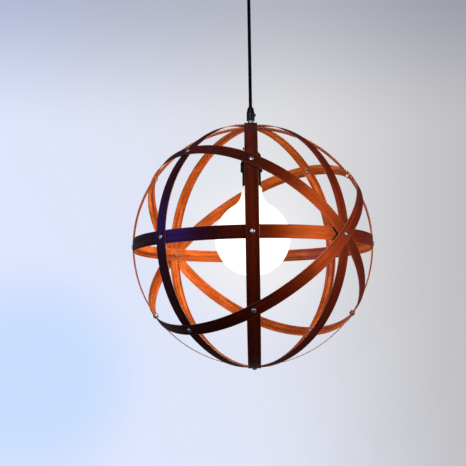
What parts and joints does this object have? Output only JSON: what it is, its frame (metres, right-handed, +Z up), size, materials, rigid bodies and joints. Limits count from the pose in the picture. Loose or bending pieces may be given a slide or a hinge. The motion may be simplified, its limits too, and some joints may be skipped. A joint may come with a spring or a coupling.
{
  "type": "orb chandelier",
  "caption": "Pendant lamp: an open globe of bent wood-veneer hoops screwed together where they cross, hung on a cord round a lampholder and a globe bulb.",
  "frame": {"origin": "on the ceiling, in the middle of the bracket's two screw slots", "axes": "+Z up along the hanging cord; +X through both screw slots, to the right in the picture; -Y towards the viewer"},
  "size_m": [0.4026, 0.4026, 0.6901],
  "materials": {
    "veneer": "stained bent wood veneer",
    "zinc_steel": "zinc-plated steel",
    "black_plastic": "glossy black",
    "black_cord": "black round cord",
    "ceramic": "white ceramic",
    "brass": "bare brass",
    "black_paint": "black paint",
    "opal_glass": "opal white",
    "clear_glass": "clear",
    "cap_metal": "plain aluminium",
    "white_plastic": "moulded plastic",
    "core_insulation": "core insulation",
    "light_rod": "phosphor-coated rod"
  },
  "bodies": {
    "ceiling_rose": {"ceiling_bracket": "zinc_steel", "canopy_cup": "black_paint", "canopy_side_screws": "zinc_steel", "canopy_tube": "zinc_steel", "canopy_nut": "zinc_steel", "canopy_cord_grip": "black_plastic", "canopy_grip_screw": "black_plastic", "canopy_cord_tail": "black_cord", "terminal_block": "white_plastic", "terminal_ferrules": "brass", "terminal_screws": "zinc_steel", "canopy_wires": "core_insulation"},
    "cord": {"pendant_cord": "black_cord"},
    "cord_grip": {"lamp_cord_grip": "black_plastic", "lamp_grip_screw": "black_plastic", "lamp_cord_tail": "black_cord"},
    "orb": {"equator_hoop": "veneer", "side_hoop": "veneer", "right_diagonal_hoop": "veneer", "left_diagonal_hoop": "veneer", "front_hoop": "veneer", "upper_tilted_hoop": "veneer", "lower_tilted_hoop": "veneer", "equator_screws": "zinc_steel", "equator_nuts": "zinc_steel", "tilted_hoop_screws": "zinc_steel", "tilted_hoop_nuts": "zinc_steel", "four_way_screws": "zinc_steel", "four_way_nuts": "zinc_steel", "base_screws": "zinc_steel", "base_nuts": "zinc_steel", "threaded_tube": "zinc_steel", "top_nut": "zinc_steel", "inner_nut": "zinc_steel", "holder_cap": "black_plastic", "neck_locking_screw": "black_plastic", "holder_sleeve": "black_plastic", "holder_ring": "black_plastic", "holder_insert": "ceramic", "screw_shell": "brass", "centre_contact": "brass", "live_terminal": "brass", "neutral_terminal": "brass", "lamp_wires": "core_insulation"},
    "bulb": {"bulb_glass": "opal_glass", "bulb_cap": "cap_metal", "bulb_insulator": "black_plastic", "bulb_contact": "brass", "bulb_stem": "clear_glass", "bulb_filaments": "light_rod"}
  },
  "joints": [
    {"name": "cord_swing", "type": "hinge", "parent": "ceiling_rose", "child": "cord", "pos_m": [0, 0, -0.05105], "axis": [1, 0, 0], "range_deg": [-25, 25]},
    {"name": "orb_swing", "type": "hinge", "parent": "cord", "child": "cord_grip", "pos_m": [0, 0, -0.25105], "axis": [0, 1, 0], "range_deg": [-25, 25]},
    {"name": "orb_turn", "type": "hinge", "parent": "cord_grip", "child": "orb", "pos_m": [0, 0, -0.27405], "axis": [0, 0, 1], "range_deg": [-180, 180]},
    {"name": "bulb_out", "type": "slide", "parent": "orb", "child": "bulb", "axis": [0, 0, -1], "range_m": [0, 0.06]}
  ]
}
